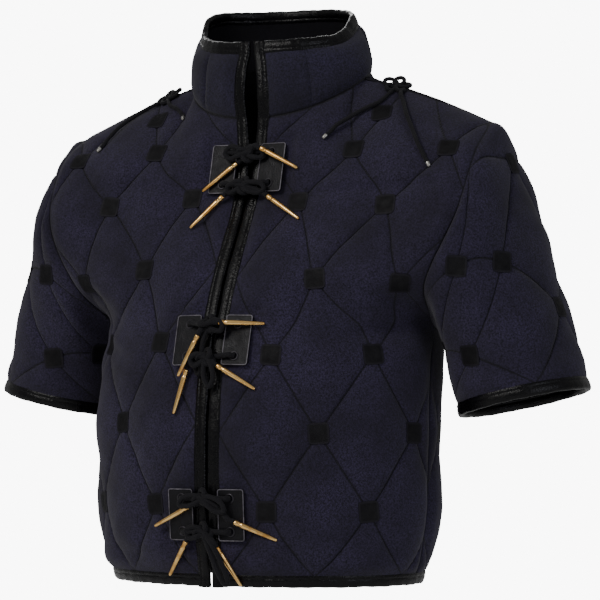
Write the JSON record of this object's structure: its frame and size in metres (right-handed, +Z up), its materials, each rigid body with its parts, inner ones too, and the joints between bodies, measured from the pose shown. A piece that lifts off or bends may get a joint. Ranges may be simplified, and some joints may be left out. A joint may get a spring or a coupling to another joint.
{
  "type": "quilted arming jacket",
  "caption": "Short-sleeved diamond-quilted padded jacket with a stand collar, leather-bound edges and laced leather plates down its front.",
  "frame": {"origin": "middle of the neck opening, level with the collar's seam at the sides, where the wearer's shoulders hold the jacket up", "axes": "+Z up, -Y towards the laced front, +X towards the wearer's left"},
  "size_m": [0.7582, 0.3254, 0.6697],
  "materials": {
    "padded_canvas": "matt black canvas, diamond quilted",
    "black_leather": "black leather with a soft sheen",
    "black_lace": "round braided black cord",
    "brass": "polished, lightly tarnished",
    "tinned_tip": "dull tinned"
  },
  "bodies": {
    "root": {"front_left": "padded_canvas", "front_right": "padded_canvas", "back": "padded_canvas", "sleeve_left": "padded_canvas", "sleeve_right": "padded_canvas", "collar": "padded_canvas", "hem_binding": "black_leather", "collar_binding": "black_leather", "front_binding_left": "black_leather", "front_binding_right": "black_leather", "cuff_binding_left": "black_leather", "cuff_binding_right": "black_leather", "lace_plate_1_left": "black_leather", "lace_plate_1_right": "black_leather", "lace_plate_2_left": "black_leather", "lace_plate_2_right": "black_leather", "lace_plate_3_left": "black_leather", "lace_plate_3_right": "black_leather", "lace_1_upper_left": "black_lace", "lace_1_upper_right": "black_lace", "lace_1_lower_left": "black_lace", "lace_1_lower_right": "black_lace", "lace_2_upper_left": "black_lace", "lace_2_upper_right": "black_lace", "lace_2_lower_left": "black_lace", "lace_2_lower_right": "black_lace", "lace_3_upper_left": "black_lace", "lace_3_upper_right": "black_lace", "lace_3_lower_left": "black_lace", "lace_3_lower_right": "black_lace", "shoulder_lace_left_inner": "black_lace", "shoulder_lace_left_outer": "black_lace", "shoulder_lace_right_inner": "black_lace", "shoulder_lace_right_outer": "black_lace", "aiglet_1_upper_left": "brass", "aiglet_1_upper_right": "brass", "aiglet_1_lower_left": "brass", "aiglet_1_lower_right": "brass", "aiglet_2_upper_left": "brass", "aiglet_2_upper_right": "brass", "aiglet_2_lower_left": "brass", "aiglet_2_lower_right": "brass", "aiglet_3_upper_left": "brass", "aiglet_3_upper_right": "brass", "aiglet_3_lower_left": "brass", "aiglet_3_lower_right": "brass", "shoulder_tip_left_inner": "tinned_tip", "shoulder_tip_left_outer": "tinned_tip", "shoulder_tip_right_inner": "tinned_tip", "shoulder_tip_right_outer": "tinned_tip"}
  },
  "joints": []
}
